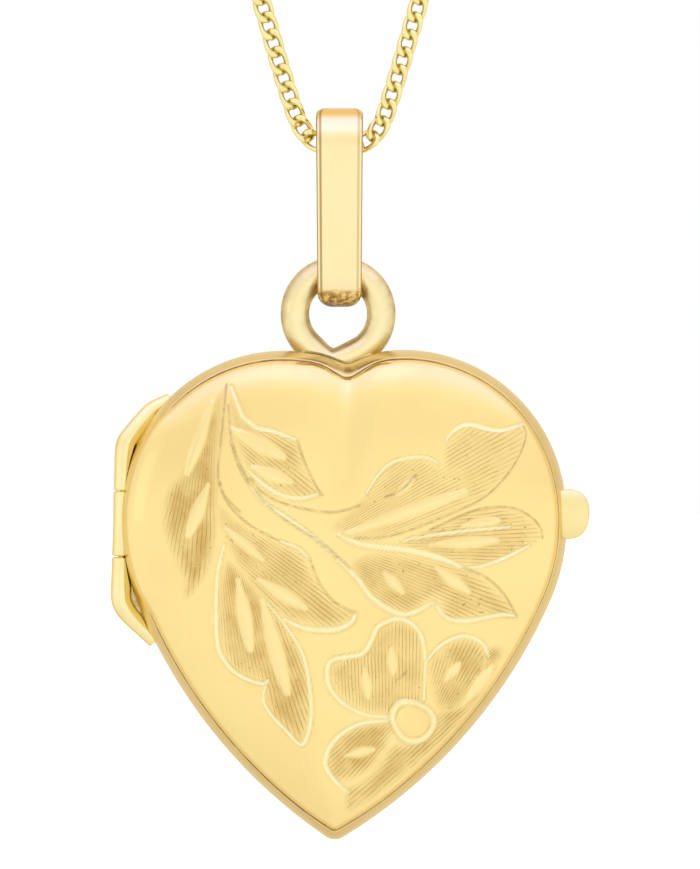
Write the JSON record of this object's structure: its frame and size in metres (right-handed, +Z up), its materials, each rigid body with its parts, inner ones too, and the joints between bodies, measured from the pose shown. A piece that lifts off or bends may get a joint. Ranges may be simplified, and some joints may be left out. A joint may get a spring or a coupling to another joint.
{
  "type": "heart locket",
  "caption": "Small hinged gold heart locket with an engraved front, a thumb nib and a long bail, hanging on a fine curb chain that is held taut.",
  "frame": {"origin": "the chain's lowest point, inside the bail", "axes": "+Z is up as the locket hangs, -Y is the engraved front, +X is the thumb nib's side"},
  "size_m": [0.0185, 0.0042, 0.0471],
  "materials": {
    "polished_gold": "polished 9-carat yellow gold",
    "engraved_gold": "polished 9-carat yellow gold with bright-cut and fine-line engraving",
    "satin_gold": "satin 9-carat yellow gold",
    "chain_gold": "diamond-cut 9-carat yellow gold"
  },
  "bodies": {
    "chain": {"chain": "chain_gold", "end_ring": "chain_gold", "clasp_link_ring": "chain_gold", "clasp_body": "chain_gold"},
    "clasp_bolt": {"clasp_bolt": "satin_gold"},
    "bail": {"bail": "polished_gold"},
    "case": {"back_dome": "polished_gold", "back_rim": "polished_gold", "closing_lip": "satin_gold", "back_photo_frame": "satin_gold", "top_ring": "polished_gold", "hinge_knuckle_top": "polished_gold", "hinge_knuckle_bottom": "polished_gold", "hinge_pin": "satin_gold"},
    "cover": {"front_dome": "engraved_gold", "front_rim": "polished_gold", "front_photo_frame": "satin_gold", "hinge_knuckle_middle": "polished_gold", "thumb_nib": "polished_gold"}
  },
  "joints": [
    {"name": "bail_swing", "type": "hinge", "parent": "chain", "child": "bail", "pos_m": [0, 0, 0], "axis": [1, 0, 0], "range_deg": [-90, 90]},
    {"name": "locket_swing", "type": "hinge", "parent": "bail", "child": "case", "pos_m": [-0.00001, 0, -0.00437], "axis": [1, 0, 0], "range_deg": [-90, 90]},
    {"name": "cover_hinge", "type": "hinge", "parent": "case", "child": "cover", "pos_m": [-0.0077, -0.00045, -0.01333], "axis": [-0.028, 0, -0.9996], "range_deg": [0, 170]},
    {"name": "clasp_pull", "type": "hinge", "parent": "chain", "child": "clasp_bolt", "pos_m": [-0.00712, 0, 0.01999], "axis": [0, 1, 0], "range_deg": [0, 50], "stiffness_Nm_per_rad": 0.001, "springref_deg": -17.19}
  ]
}
